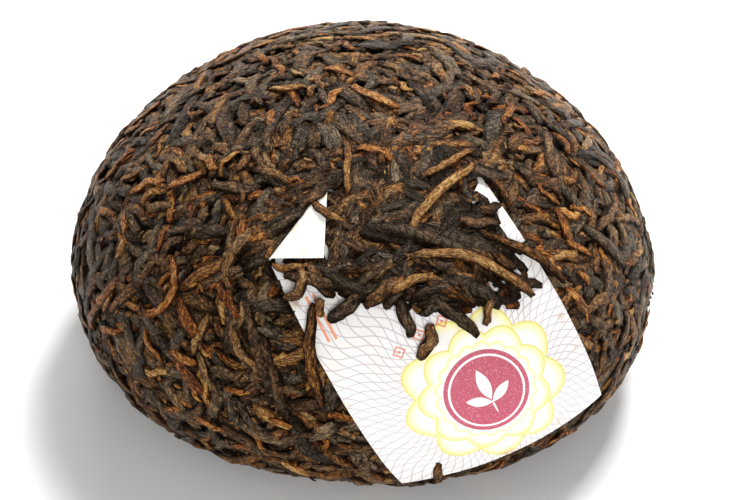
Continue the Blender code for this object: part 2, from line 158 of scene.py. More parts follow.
# %% From flat paper to the dome
SLIP_WIDTH, SLIP_BELOW, SLIP_ABOVE = 32.0 * MM, 23.0 * MM, 25.3 * MM
SLIP_LENGTH, PAPER = SLIP_BELOW + SLIP_ABOVE, 0.14 * MM
SLIP_ARC, SLIP_AZIMUTH, SLIP_TURN = 39.3 * MM, math.radians(-74.3), math.radians(18.8)
SIDE_BOW, END_BOW, SKEW = 1.3 * MM, 1.2 * MM, 1.1 * MM
SLIP_SINK, SLIP_FALL = 0.25 * MM, 0.95 * MM
WALK_STEPS = 10
EAR_DOWN, EAR_ALONG, EAR_BEND = 8.4 * MM, 14.0 * MM, 0.45 * MM
EAR_START = np.array((-SLIP_WIDTH / 2, SLIP_ABOVE - EAR_DOWN))
EAR_OUT = np.array((-EAR_DOWN, EAR_ALONG)) / math.hypot(EAR_ALONG, EAR_DOWN)


def slip_place(across, along):
    """Arc length and azimuth under points of the slip, given in its flat coordinates."""
    u, v = across / (SLIP_WIDTH / 2), along / SLIP_BELOW
    across = across + SIDE_BOW * v ** 2
    along = along + END_BOW * u ** 2 + SKEW * u * v
    distance = np.hypot(across, along)
    arc, azimuth = np.full_like(distance, SLIP_ARC), np.full_like(distance, SLIP_AZIMUTH)
    heading = bearing_to_heading(arc, azimuth, np.arctan2(along, across) + SLIP_TURN)
    for _ in range(WALK_STEPS):
        arc, azimuth, heading = walk(arc, azimuth, heading, distance / WALK_STEPS)
    return arc, azimuth


def slip_height(along):
    """Height of the paper over the leaves' surface: it falls towards its upper edge."""
    return -SLIP_SINK - SLIP_FALL * along / SLIP_BELOW


def on_slip(across, along, height):
    arc, azimuth = slip_place(across, along)
    return surface(arc, azimuth) + normal(arc, azimuth) * (slip_height(along) + height)[..., None]


def past_fold(across, along):
    """Distance of flat points beyond the line along which the corner folds."""
    return (across - EAR_START[0]) * EAR_OUT[0] + (along - EAR_START[1]) * EAR_OUT[1]


def folded(across, along, height):
    """World points of the slip. Its corner takes a half turn round the bend, then lies on top."""
    past = past_fold(across, along)
    half_turn = math.pi * EAR_BEND
    angle = np.clip(past, 0, half_turn) / EAR_BEND
    out = np.minimum(past, 0) + (EAR_BEND - height) * np.sin(angle)
    out -= np.maximum(past - half_turn, 0)
    raised = EAR_BEND - (EAR_BEND - height) * np.cos(angle)
    return on_slip(across + (out - past) * EAR_OUT[0], along + (out - past) * EAR_OUT[1], raised)


# %% From a point in space back to the paper
CHART_MARGIN, CHART_STEP = 4 * MM, 0.5 * MM
SLIP_REACH, CHART_REACH = 33 * MM, 3 * MM


def slip_chart():
    """A fine grid over the slip and its margin, with the paper's two directions."""
    across = np.arange(-SLIP_WIDTH / 2 - CHART_MARGIN, SLIP_WIDTH / 2 + CHART_MARGIN, CHART_STEP)
    along = np.arange(-SLIP_BELOW - CHART_MARGIN, SLIP_ABOVE + CHART_MARGIN, CHART_STEP)
    across, along = np.meshgrid(across, along, indexing="ij")
    points = on_slip(across, along, np.zeros_like(across))
    to_right, to_top = unit(np.gradient(points, axis=0)), unit(np.gradient(points, axis=1))
    columns = (across, along, points, to_right, to_top)
    flat = [column.reshape(-1, *column.shape[2:]) for column in columns]
    tree = kdtree.KDTree(len(flat[2]))
    for index, point in enumerate(flat[2]):
        tree.insert(Vector(point), index)
    tree.balance()
    return tree, flat


SLIP_TREE, SLIP_CHART = slip_chart()
SLIP_MIDDLE = on_slip(np.zeros(1), np.zeros(1), np.zeros(1))[0]


def slip_coordinates(points):
    """Flat coordinates of points near the slip, a metre for all others, and which are near."""
    across, along = np.ones((2, len(points)))
    close = np.linalg.norm(points - SLIP_MIDDLE, axis=1) < SLIP_REACH
    for index in np.flatnonzero(close):
        _, found, distance = SLIP_TREE.find(Vector(points[index]))
        if distance > CHART_REACH:
            close[index] = False
            continue
        step = points[index] - SLIP_CHART[2][found]
        across[index] = SLIP_CHART[0][found] + step @ SLIP_CHART[3][found]
        along[index] = SLIP_CHART[1][found] + step @ SLIP_CHART[4][found]
    return across, along, close


def outside_paper(across, along):
    """Distance of flat points outside the sheet's edges and its fold: negative on the paper."""
    past_ends = np.maximum(along - SLIP_ABOVE, -SLIP_BELOW - along)
    past_edges = np.maximum(np.abs(across) - SLIP_WIDTH / 2, past_ends)
    return np.maximum(past_edges, past_fold(across, along))


LINE_LOW, LINE_RISE, LINE_POWER = -3.5 * MM, 19.8 * MM, 2.2


def leaf_line(across):
    """Where the leaves over the slip end: the line sweeps down to the right."""
    share = np.clip(0.5 - across / SLIP_WIDTH, 0, 1.1)
    return LINE_LOW + LINE_RISE * share ** LINE_POWER


def in_ear(across, along):
    """Whether flat points lie under the folded corner."""
    past = past_fold(across, along)
    mirror_across, mirror_along = across - 2 * past * EAR_OUT[0], along - 2 * past * EAR_OUT[1]
    return (past < 0) & (mirror_across > -SLIP_WIDTH / 2) & (mirror_along < SLIP_ABOVE)


print("paper over", round(SLIP_WIDTH / MM), "x", round(SLIP_LENGTH / MM), "mm, laid from",
      np.round(SLIP_MIDDLE / MM, 1).tolist(), "mm")

# %% [markdown]
# ## The camera comes before the leaves
# The large and the pale leaves make one cake differ from the next, so we lay them where the
# picture shows them. A place in the picture is a ray from the camera, and the leaf lies where the
# ray meets the surface.

# %% The camera
ELEVATION = math.radians(36)
DISTANCE = 330 * MM
PIXELS_PER_MM = 7.079
FRAME_WIDTH, FRAME_HEIGHT = 750, 500
SENSOR_WIDTH = 36
TARGET = AXIS + np.array((0, 0, 18 * MM))
TARGET_PIXEL = np.array((363.18, 230.42))
BACK = np.array((0, -math.cos(ELEVATION), math.sin(ELEVATION)))
RIGHT = np.array((1.0, 0, 0))
UP = np.array((0, math.sin(ELEVATION), math.cos(ELEVATION)))
EYE = TARGET + BACK * DISTANCE


def beside_target(x, y):
    """The point that a place in the picture shows on the plane through the target."""
    offset = (np.array((x, y)) - TARGET_PIXEL) / PIXELS_PER_MM * MM
    return TARGET + RIGHT * offset[0] - UP * offset[1]


aim = beside_target(FRAME_WIDTH / 2, FRAME_HEIGHT / 2)
bpy.ops.object.camera_add(location=EYE)
camera = bpy.context.object
camera.name = "picture_camera"
camera.rotation_euler = Vector(aim - EYE).to_track_quat("-Z", "Y").to_euler()
camera.data.lens = PIXELS_PER_MM / MM * DISTANCE * SENSOR_WIDTH / FRAME_WIDTH
camera.data.clip_start, camera.data.clip_end = 0.01, 10
bpy.context.scene.camera = camera
print("lens", round(camera.data.lens, 1), "mm, eye at", np.round(EYE / MM, 1).tolist())

# %% From a place in the picture to the surface
SEARCH_NEAR, SEARCH_FAR, SEARCH_POINTS = DISTANCE - 60 * MM, DISTANCE + 50 * MM, 500


def seen_at(x, y):
    """The surface point that the camera sees at a place in the picture."""
    ray = unit(beside_target(x, y) - EYE)
    points = EYE + ray * np.linspace(SEARCH_NEAR, SEARCH_FAR, SEARCH_POINTS)[:, None]
    arc, azimuth = nearest(points)
    over = np.sum((points - surface(arc, azimuth)) * normal(arc, azimuth), axis=1)
    inside = np.flatnonzero(over < 0)
    return points[inside[0]] if len(inside) else points[np.argmin(over)]


# %% [markdown]
# ## One leaf of each kind
# A leaf is rolled lengthwise while it is limp, so it dries as a twisted strip with creases that
# wind round it; stems stay rounder and straighter, and buds taper. Each kind is modelled once as
# a ball: its rings are filled out, some meridians are drawn in to make the creases, and a Twist
# winds it. It keeps only a few dozen faces, because there will be thousands of copies, and the
# fine wrinkles come from the material. The last two kinds are for leaves laid one by one.

# %% Modelling a leaf
def model_leaf(sides, rings, creases, depth, turns, fullness, seed):
    """A ball with filled-out ends, creased meridians and a twist. Its length runs along Z."""
    bpy.ops.mesh.primitive_uv_sphere_add(segments=sides, ring_count=rings, radius=1)
    made = bpy.context.object
    bpy.ops.object.mode_set(mode="EDIT")
    bpy.ops.mesh.select_mode(type="VERT")
    bm = bmesh.from_edit_mesh(made.data)
    for level in sorted({round(vertex.co.z, 4) for vertex in bm.verts})[1:-1]:
        for vertex in bm.verts:
            vertex.select = abs(vertex.co.z - level) < 0.001
        bm.select_flush_mode()
        bmesh.update_edit_mesh(made.data)
        radius = math.sqrt(max(1 - level * level, 0.0001))
        fuller = radius ** (fullness - 1)
        bpy.ops.transform.resize(value=(fuller, fuller, 1))
    for vertex in bm.verts:
        turn = round(math.atan2(vertex.co.y, vertex.co.x) / (2 * math.pi) * sides) % sides
        vertex.select = abs(vertex.co.z) < 0.97 and turn in creases
    bm.select_flush_mode()
    bmesh.update_edit_mesh(made.data)
    bpy.ops.transform.resize(value=(depth, depth, 1), center_override=(0, 0, 0))
    bpy.ops.mesh.select_all(action="SELECT")
    bpy.ops.transform.vertex_random(offset=0.1, seed=seed)
    bpy.ops.object.mode_set(mode="OBJECT")
    wind = made.modifiers.new("wind", "SIMPLE_DEFORM")
    wind.deform_method, wind.deform_axis, wind.angle = "TWIST", "Z", turns * 2 * math.pi
    bpy.ops.object.modifier_apply(modifier=wind.name)
    return made


# %% The kinds: rolled, folded, rope-like, broken, stem, bud and crumb, and two with more faces
# Each has its sides, rings, creased meridians, how far they are drawn in, turns of the twist, how
# round its ends are (0 is blunt and 1 a ball's), and a seed.
KINDS = {
    "rolled": (8, 8, (2, 6), 0.62, 0.2, 0.62, 3),
    "rolled_tight": (8, 8, (1, 4), 0.55, 0.5, 0.6, 11),
    "folded": (8, 8, (2,), 0.45, 0.12, 0.7, 5),
    "rope": (9, 8, (1, 4, 7), 0.6, 0.8, 0.55, 7),
    "broken": (8, 6, (2, 5), 0.6, 0.2, 0.35, 13),
    "stem": (7, 8, (3,), 0.75, 0.1, 0.3, 17),
    "bud": (8, 8, (2, 4), 0.7, 0.3, 0.95, 19),
    "crumb": (5, 4, (2,), 0.6, 0.1, 0.5, 23),
    "fine": (12, 14, (2, 5, 9), 0.62, 0.45, 0.6, 29),
    "stalk": (10, 14, (3, 7), 0.8, 0.15, 0.32, 31),
}
MASTERS = {}
for kind, values in KINDS.items():
    master = model_leaf(*values)
    mesh = master.data
    points = np.array([vertex.co for vertex in mesh.vertices])
    points[:, :2] /= np.abs(points[:, :2]).max()
    points[:, 2] /= np.abs(points[:, 2]).max()
    corners = np.array([loop.vertex_index for loop in mesh.loops])
    totals = np.array([polygon.loop_total for polygon in mesh.polygons])
    flat = np.array([loop.uv[:] for loop in mesh.uv_layers.active.data])
    MASTERS[kind] = (points, corners, totals, flat)
    bpy.data.objects.remove(master, do_unlink=True)
    print(kind, "has", len(totals), "faces")

# %% [markdown]
# ## Laying leaves on the surface
# A leaf follows a bent path over the surface, and its ends dive under its neighbours. Where its
# top would stand proud it is pressed flat. Near the paper its points are held above or below the
# sheet, so it either lies on the paper or runs under it.

# %% Paths
STATIONS = 9
MIDDLE = STATIONS // 2


def lay_paths(arc, azimuth, bearing, length, bend):
    """Stations, headings and normals of many leaves at once, walked both ways from the middle."""
    start = bearing_to_heading(arc, azimuth, bearing)
    halves = []
    for way in (-1, 1):
        here = (arc, azimuth, start * way)
        run = []
        for _ in range(MIDDLE):
            here = walk(*here, length / (STATIONS - 1), way * bend / (STATIONS - 1))
            run.append((surface(here[0], here[1]), here[2] * way, normal(here[0], here[1])))
        halves.append(run)
    middle = (surface(arc, azimuth), start, normal(arc, azimuth))
    stations = halves[0][::-1] + [middle] + halves[1]
    return [np.stack(part, axis=1) for part in zip(*stations)]


def path_through(places):
    """One smooth path over the surface through places in the picture."""
    points = np.array([seen_at(*place) for place in places])
    run = np.concatenate(([0], np.cumsum(np.linalg.norm(np.diff(points, axis=0), axis=1))))
    at = np.linspace(0, 1, STATIONS)
    curves = [np.polyfit(run / run[-1], points[:, k], len(points) - 1) for k in range(3)]
    fitted = [np.polyval(curve, at) for curve in curves]
    arc, azimuth = nearest(np.stack(fitted, axis=-1))
    points, up = surface(arc, azimuth), normal(arc, azimuth)
    return points, flatten(np.gradient(points, axis=0), up), up


# %% Swells of the pressed surface, and uneven leaves
RELIEF_HEIGHT, RELIEF_SIZE = 0.12 * MM, 8 * MM
RIPPLE_LENGTH, RIPPLE_COUNT = 1.9 * MM, 5
RIPPLES = unit(np.random.default_rng(5).normal(0, 1, (2, RIPPLE_COUNT, 3)))
RIPPLES = RIPPLES * 2 * math.pi / RIPPLE_LENGTH


def relief(points):
    """Low swells of the pressed surface, up to an eighth of a millimetre either way."""
    return RELIEF_HEIGHT * np.array([noise.noise(Vector(point / RELIEF_SIZE)) for point in points])


def crinkle(points, phase):
    """Two uneven ripples over points, from -1 to 1, which differ from leaf to leaf."""
    shift = np.arange(1, RIPPLE_COUNT + 1)[:, None, None] * phase[:, None]
    waves = np.einsum("nvk,abk->abnv", points, RIPPLES) + shift
    return np.sin(waves).sum(axis=1) / (RIPPLE_COUNT / 2)


# %% Above or below the paper
UNDER, OVER, OVER_FOLD = 0, 1, 2
OVER_GAP, UNDER_GAP, FOLD_GAP = 0.12 * MM, 0.3 * MM, 0.15 * MM
OVER_EDGE, UNDER_EDGE = 0.4 * MM, 1.2 * MM
EAR_GAP, BEND_MARGIN = 0.2 * MM, 0.1 * MM
EDGE_SLOPE = 1.6


def hold_by_paper(points, height, side):
    """Heights that keep points under the slip and its edges, over it, or over its fold too."""
    across, along, close = slip_coordinates(points)
    outside = outside_paper(across, along)
    paper = slip_height(along)
    fold_top = paper + 2 * EAR_BEND
    above = close & (side != UNDER) & (outside < OVER_EDGE)
    height = np.where(above, np.maximum(height, paper + OVER_GAP), height)
    by_ear = close & in_ear(across, along)
    height = np.where(by_ear & (side == OVER), np.minimum(height, fold_top - EAR_GAP), height)
    by_ear |= close & (np.abs(past_fold(across, along)) < EAR_BEND + BEND_MARGIN)
    held = by_ear & (side == OVER_FOLD)
    height = np.where(held, np.maximum(height, fold_top + FOLD_GAP), height)
    below = close & (side == UNDER) & (outside < UNDER_EDGE)
    roof = paper - UNDER_GAP + np.maximum(outside, 0) * EDGE_SLOPE
    return np.where(below, np.minimum(height, roof), height)


# %% Bending the models onto their paths
# The drawn tone of a leaf has digits to spare, and these make its other differences.
CREASE_DIGITS, GROUND_DIGITS, WRINKLE_DIGITS = 5000, 997, 7919
WRINKLE_PLACES, WRINKLE_SHIFT, WRINKLE_LENGTH = 97, np.array((1.37, 2.91)), 5 * MM
CREASE_ASIDE, CREASE_HEIGHT = 0.16 * MM, 0.09 * MM
PRESSED_SHARE = 0.25
GROUND, GROUND_SPREAD = 0.03 * MM, 0.25 * MM
# Painted shade, darker deeper below a leaf's top: where it starts, over what depth, how much, and a
# lift of all tones to balance it.
PAINTED_SHADE_FROM, PAINTED_SHADE_DEPTH, PAINTED_SHADE_SHARE, TONE_LIFT = 0.1 * MM, 1.1 * MM, 0.62, 0.105


def bend_leaves(kind, paths, sizes, lifts, tones, paper_side, press):
    """Copies of one model on their paths: places, corners, face sizes, UVs, tones and flanks, with
    painted shade.
    """
    model, corners, totals, flat = MASTERS[kind]
    count, each = len(sizes), len(model)
    station = (model[:, 2] + 1) / 2 * (STATIONS - 1)
    first = np.minimum(station.astype(int), STATIONS - 2)
    share = (station - first)[None, :, None]
    middles, forward, up = [part[:, first] * (1 - share) + part[:, first + 1] * share
                            for part in paths]
    length, width, thickness, roll = sizes.T[..., None]
    x = model[:, 0] * np.cos(roll) - model[:, 1] * np.sin(roll)
    y = model[:, 0] * np.sin(roll) + model[:, 1] * np.cos(roll)
    turned = np.arctan2(model[:, 1], model[:, 0]) + roll
    # Painted shade: the flanks, where a leaf turns down to its neighbours, and its ends are marked
    # to be darkened.
    flank_shades = np.maximum(np.abs(np.cos(turned)), np.abs(model[:, 2]) ** 8)

    top, tilt, arch, wave = lifts.T[..., None]
    run = model[:, 2]
    height = top - thickness / 2 + y * thickness / 2 + tilt * run - arch * run ** 2
    height = np.where(height > press, press + (height - press) * PRESSED_SHARE, height)
    height = height + relief(paths[0][:, MIDDLE])[:, None]
    crease = crinkle(middles, tones[:, 0] * CREASE_DIGITS)
    aside = x * width / 2 + wave * np.sin(run * 4 + roll) + CREASE_ASIDE * crease[0]
    height = (height + CREASE_HEIGHT * crease[1]).reshape(-1)
    flush = (middles + unit(np.cross(up, forward)) * aside[..., None]).reshape(-1, 3)
    height = hold_by_paper(flush, height, np.repeat(paper_side, each))
    places = flush + up.reshape(-1, 3) * height[:, None]
    ground = GROUND + GROUND_SPREAD * np.abs(np.sin(tones[:, 0] * GROUND_DIGITS))
    places[:, 2] = np.maximum(places[:, 2], np.repeat(ground, each))

    # Painted shade: points that lie deeper below the leaf's top get a darker tone, as in the
    # crevices.
    depth = (height - np.repeat(lifts[:, 0], each) + PAINTED_SHADE_FROM) / PAINTED_SHADE_DEPTH
    shift = np.floor(tones[:, :1] * WRINKLE_DIGITS) % WRINKLE_PLACES * WRINKLE_SHIFT
    tones = np.repeat(tones, each, axis=0)
    tones[:, 0] += np.clip(depth, -1, 0) * PAINTED_SHADE_SHARE + TONE_LIFT
    uv = np.tile(flat, (count, 1))
    uv[:, 1] *= np.repeat(length[:, 0] / WRINKLE_LENGTH, len(flat))
    uv += np.repeat(shift, len(flat), axis=0)
    corners = corners + np.arange(count)[:, None] * each
    return places, corners.ravel(), np.tile(totals, count), uv, tones, flank_shades.ravel()


# %% Many leaves as one joined mesh
def join_leaves(name, batches, material, press=0.05 * MM):
    """One mesh of batches: kind, paths, sizes, lifts, tones, and on which side of the paper."""
    parts = [bend_leaves(*batch, press) for batch in batches if len(batch[2])]
    before = np.cumsum([0] + [len(part[0]) for part in parts[:-1]])
    points, corners, totals, uv, tones, flank_shades = [np.concatenate(part) for part in zip(*parts)]
    corners = corners + np.repeat(before, [len(part[1]) for part in parts])
    mesh = bpy.data.meshes.new(name)
    starts = np.concatenate(([0], np.cumsum(totals)[:-1]))
    for items, key, values in ((mesh.vertices, "co", points), (mesh.polygons, "loop_start", starts),
                               (mesh.loops, "vertex_index", corners)):
        items.add(len(values))
        items.foreach_set(key, values.ravel())
    mesh.uv_layers.new(name="wrinkle").data.foreach_set("uv", uv.ravel())
    # The tone holds painted shade from depth, and the flank values mark where painted shade darkens
    # the flanks.
    for label, values in (("tone", tones[:, 0]), ("warmth", tones[:, 1]), ("flank_shade", flank_shades)):
        mesh.attributes.new(label, "FLOAT", "POINT").data.foreach_set("value", values)
    mesh.update(calc_edges=True)
    mesh.validate()
    mesh.shade_smooth()
    made = bpy.data.objects.new(name, mesh)
    bpy.context.scene.collection.objects.link(made)
    mesh.materials.append(material)
    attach(made, "root")
    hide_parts("tea_cake")
    print(name, "has", int(np.sum(totals - 2)), "triangles")
    return made


# %% [markdown]
# ## The finishes of the leaves
# Ripe tea is nearly black, and young buds and stems are rust, tan or straw. All have wrinkles
# along their length, so a cell pattern and a noise are stretched along each leaf's own UV map, and
# a fine noise in space crumples them. The same patterns give the relief and the sheen, and they
# paint shade into the colour too: dark lines along the furrows, and painted light and shade over
# the crumples, on top of the leaf's own grain. Each leaf has a tone and a warmth, which pick its
# colour from a cool and a warm ramp, and its flanks, where it turns down to its neighbours, get
# painted shade.

# %% Short ways to wire a material
class Value:
    """A number in a material. Sums with it add the nodes for them, and | takes the larger one."""

    def __init__(self, wiring, socket):
        self.wiring, self.socket = wiring, socket

    def __rsub__(self, other):
        return self.wiring.math("SUBTRACT", other, self)

    def scaled(self, low, high, new_low=0.0, new_high=1.0):
        """The number carried from one range to another and held inside it."""
        ends = {0: self, 1: low, 2: high, 3: new_low, 4: new_high}
        return self.wiring.add("ShaderNodeMapRange", 0, ends, clamp=True)


for sign, operation in (("add", "ADD"), ("sub", "SUBTRACT"), ("mul", "MULTIPLY"),
                        ("truediv", "DIVIDE"), ("or", "MAXIMUM"), ("abs", "ABSOLUTE")):
    setattr(Value, f"__{sign}__", lambda *values, operation=operation:
            values[0].wiring.math(operation, *values))


class Wiring:
    """A material with short ways to add its nodes and join them."""

    def __init__(self, name):
        self.material = bpy.data.materials.new(name)
        self.material.use_nodes = True
        self.tree = self.material.node_tree
        self.shader = self.tree.nodes["Principled BSDF"]

    def node(self, kind, inputs, **settings):
        made = self.tree.nodes.new(kind)
        for key, value in settings.items():
            setattr(made, key, value)
        for socket, value in dict(inputs).items():
            if isinstance(value, Value):
                self.tree.links.new(value.socket, made.inputs[socket])
            else:
                made.inputs[socket].default_value = value
        return made

    def add(self, kind, output, inputs=(), **settings):
        return Value(self, self.node(kind, inputs, **settings).outputs[output])

    def math(self, operation, *values, clamp=False):
        inputs = dict(enumerate(values))
        return self.add("ShaderNodeMath", 0, inputs, operation=operation, use_clamp=clamp)

    def place(self):
        return self.add("ShaderNodeTexCoord", "Object")

    def noise(self, vector, scale, detail, roughness):
        inputs = {"Vector": vector, "Scale": scale, "Detail": detail, "Roughness": roughness}
        return self.add("ShaderNodeTexNoise", "Fac", inputs)

    def ramp(self, value, stops):
        made = self.node("ShaderNodeValToRGB", {"Fac": value})
        points = made.color_ramp.elements
        for point, (position, colour) in zip(points, (stops[0], stops[-1])):
            point.position, point.color = position, (*colour, 1)
        for position, colour in stops[1:-1]:
            points.new(position).color = (*colour, 1)
        return Value(self, made.outputs["Color"])

    def mix(self, share, *colours):
        first, second = [colour if isinstance(colour, Value) else (*colour, 1)
                         for colour in colours]
        return self.add("ShaderNodeMix", 2, {0: share, 6: first, 7: second}, data_type="RGBA")

    def bump(self, height, strength, distance):
        inputs = {"Height": height, "Strength": strength, "Distance": distance}
        return self.add("ShaderNodeBump", "Normal", inputs)

    def to_shader(self, *colour_roughness_normal):
        for socket, value in zip(("Base Color", "Roughness", "Normal"), colour_roughness_normal):
            self.tree.links.new(value.socket, self.shader.inputs[socket])


# %% The leaf finish
WARP, WARP_SCALE = 0.32, 4.0
FURROWS, FIBRES = (11, 4.2, 1), (26, 6, 1)
FURROW_WIDTH = 0.16
CRUMPLE, MOTTLE = (2100, 4, 0.75), (380, 4, 0.6)
GLOSS = (0.32, 0.54)
SHEEN, SHEEN_TINT = 0.22, (1.0, 0.7, 0.46, 1.0)


def leaf_finish(name, cool, warm):
    """Wrinkled leaf whose colour lies between two ramps, a cool one and a warm one."""
    wire = Wiring(name)
    uv, place = wire.add("ShaderNodeUVMap", "UV", uv_map="wrinkle"), wire.place()
    warp = wire.add("ShaderNodeTexNoise", "Color",
                    {"Vector": uv, "Scale": WARP_SCALE, "Detail": 3.0})
    bent = wire.add("ShaderNodeVectorMath", 0, {0: warp, "Scale": WARP}, operation="SCALE")
    bent = wire.add("ShaderNodeVectorMath", 0, {0: uv, 1: bent}, operation="ADD")
    cells, threads = [wire.add("ShaderNodeMapping", 0, {"Vector": bent, "Scale": stretch})
                      for stretch in (FURROWS, FIBRES)]
    furrow = wire.add("ShaderNodeTexVoronoi", "Distance", {"Vector": cells, "Scale": 1.0},
                      feature="DISTANCE_TO_EDGE").scaled(0.0, FURROW_WIDTH)
    fibre = wire.noise(threads, 1.0, 3, 0.6)
    crumple, mottle = wire.noise(place, *CRUMPLE), wire.noise(place, *MOTTLE)
    tone, warmth, flank_shade = [wire.add("ShaderNodeAttribute", "Fac", attribute_name=label)
                           for label in ("tone", "warmth", "flank_shade")]

    # Each pattern is taken from its middle value, and added with its own weight. The furrows paint
    # shade into the tone, the crumples paint light and shade over the leaf's grain, and the flanks
    # are darkened as painted shade.
    shade = tone + (furrow - 0.8) * 0.3 + (fibre - 0.5) * 0.22 + (mottle - 0.5) * 0.3
    shade = shade + (crumple - 0.5) * 1.3 - flank_shade.scaled(0.66, 0.95, 0.0, 0.38)
    heat = wire.math("ADD", warmth + (mottle - 0.5), (crumple - 0.5) * 0.3, clamp=True)
    height = furrow * 0.8 + fibre * 0.5 + crumple * 2.2
    wire.to_shader(wire.mix(heat, wire.ramp(shade, cool), wire.ramp(shade, warm)),
                   fibre.scaled(0.3, 0.7, *GLOSS), wire.bump(height, 1.0, 0.5 * MM))
    wire.shader.inputs["Specular IOR Level"].default_value = SHEEN
    wire.shader.inputs["Specular Tint"].default_value = SHEEN_TINT
    return wire.material


COOL = ((0, (0.005, 0.0023, 0.0006)), (0.2, (0.018, 0.012, 0.0065)), (0.42, (0.062, 0.048, 0.034)),
        (0.62, (0.14, 0.105, 0.069)), (0.8, (0.26, 0.188, 0.11)), (1, (0.42, 0.3, 0.17)))
TAN = ((0, (0.008, 0.0025, 0.0006)), (0.2, (0.033, 0.0117, 0.003)), (0.42, (0.16, 0.056, 0.0135)),
       (0.6, (0.365, 0.147, 0.034)), (0.78, (0.6, 0.292, 0.072)), (1, (0.78, 0.53, 0.21)))
RUST = ((0, (0.009, 0.0023, 0.0006)), (0.2, (0.042, 0.0105, 0.0028)), (0.42, (0.195, 0.049, 0.011)),
        (0.6, (0.43, 0.138, 0.028)), (0.78, (0.66, 0.285, 0.06)), (1, (0.8, 0.54, 0.2)))
LEAF_FINISH = leaf_finish("pressed_leaf", COOL, TAN)
RUST_FINISH = leaf_finish("rust_leaf", COOL, RUST)
print("leaf finish has", len(LEAF_FINISH.node_tree.nodes), "nodes")

# %% [markdown]
# ## The dark bed
# Between the leaves one looks into the cake, where deeper leaves and tea dust lie in shade. A
# shell a little under the surface closes every gap, and its nearly black colour is painted shade.
# It is spun as a flat disc whose radius is the arc length, then laid under the surface and
# roughened.

# %% The bed, spun flat
BED_RINGS, BED_SIDES = 70, 150
BED_DEPTH, BED_ROUGHNESS, BED_LUMP = 1.5 * MM, 0.35 * MM, 2.2 * MM
BED_FOOT, BED_UNDER_PAPER, BED_EDGE = 1.1 * MM, 0.9 * MM, 1.0 * MM
MERGE = 0.01 * MM

bpy.ops.mesh.primitive_circle_add(vertices=3, radius=1 * MM)
bed = bpy.context.object
bed.name = "tea_bed"
bpy.ops.object.mode_set(mode="EDIT")
bm = bmesh.from_edit_mesh(bed.data)
bmesh.ops.delete(bm, geom=list(bm.verts), context="VERTS")
line = [bm.verts.new((arc, 0.0, 0.0)) for arc in np.linspace(0, ARC[-1], BED_RINGS)]
for first_end, second_end in zip(line, line[1:]):
    bm.edges.new((first_end, second_end))
bmesh.update_edit_mesh(bed.data)
bpy.ops.mesh.select_all(action="SELECT")
bpy.ops.mesh.spin(steps=BED_SIDES, angle=2 * math.pi, center=(0, 0, 0), axis=(0, 0, 1))
bpy.ops.mesh.select_all(action="SELECT")
bpy.ops.mesh.remove_doubles(threshold=MERGE)
bpy.ops.object.mode_set(mode="OBJECT")

# %% The bed goes under the surface
flat = np.array([vertex.co for vertex in bed.data.vertices])
arc, azimuth = np.hypot(flat[:, 0], flat[:, 1]), np.arctan2(flat[:, 1], flat[:, 0])
points = surface(arc, azimuth)
lumps = np.array([noise.fractal(Vector(point) / BED_LUMP, 1.0, 2.0, 3) for point in points])
across, along, close = slip_coordinates(points)
depth = BED_DEPTH - BED_ROUGHNESS * lumps
under_paper = close & (outside_paper(across, along) < BED_EDGE)
depth = np.where(under_paper, np.maximum(depth, BED_UNDER_PAPER - slip_height(along)), depth)
points = points - normal(arc, azimuth) * depth[:, None]
points[:, 2] = np.maximum(points[:, 2], BED_FOOT)
rim = arc > ARC[-1] - MERGE
points[rim] = points[rim].mean(axis=0)
bed.data.vertices.foreach_set("co", points.ravel())
bpy.ops.object.mode_set(mode="EDIT")
bpy.ops.mesh.select_all(action="SELECT")
bpy.ops.mesh.remove_doubles(threshold=MERGE)
bpy.ops.mesh.normals_make_consistent(inside=False)
bpy.ops.object.mode_set(mode="OBJECT")
bed.data.shade_smooth()

# Painted shade: the bed is coloured nearly black, darker than the leaves, for the shade in the
# gaps, and its specks are tea dust.
dust_and_shade = Wiring("tea_dust_and_shade")
specks = dust_and_shade.noise(dust_and_shade.place(), 1500, 4, 0.7)
dust_and_shade_colours = ((0.3, (0.006, 0.003, 0.0015)), (0.6, (0.02, 0.011, 0.005)),
                (0.75, (0.06, 0.03, 0.012)))
dust_and_shade.to_shader(dust_and_shade.ramp(specks, dust_and_shade_colours), specks.scaled(0.3, 0.7, 0.75, 0.95),
               dust_and_shade.bump(specks, 0.8, 0.3 * MM))
bed.data.materials.append(dust_and_shade.material)
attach(bed, "root")
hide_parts("tea_cake")
print("bed has", len(bed.data.polygons), "faces")

# %% [markdown]
# ## Scattering the leaves
# The places come from a golden-angle spiral over the whole surface, so the cover is even without
# looking like a grid. Most leaves are short and a few are long. Each draw starts from a fixed
# number, so each run lays the same cake.

# %% Drawing places
RING_AREA = np.concatenate(([0.0], np.cumsum(SECTION_RADIUS[:-1] * np.diff(ARC))))
GOLDEN = math.pi * (3 - math.sqrt(5))
LINE_MARGIN = 0.8 * MM


def all_over(count, seed):
    """Arc lengths and azimuths on a golden-angle spiral over the whole surface."""
    draw = np.random.default_rng(seed)
    rank = draw.permutation(count)
    share = (rank + draw.uniform(0.2, 0.8, count)) / count
    arc = np.interp(share, RING_AREA / RING_AREA[-1], ARC)
    return arc, rank * GOLDEN + draw.normal(0, 0.02, count) + seed


def over_the_paper(count, seed):
    """Arc lengths and azimuths over the upper part of the slip, where leaves cover it."""
    draw = np.random.default_rng(seed)
    across = draw.uniform(-SLIP_WIDTH / 2, SLIP_WIDTH / 2, count)
    low = leaf_line(across) + LINE_MARGIN
    return slip_place(across, low + (SLIP_ABOVE - low) * draw.uniform(0, 1, count))


# %% Which leaves lie over the paper, and which are left out
BARE_STRIP = (14.0 * MM, -4 * MM, 12.5 * MM)
BARE_GAP, BARE_GAP_RADIUS = (7.7 * MM, 16.3 * MM), 0.6 * MM


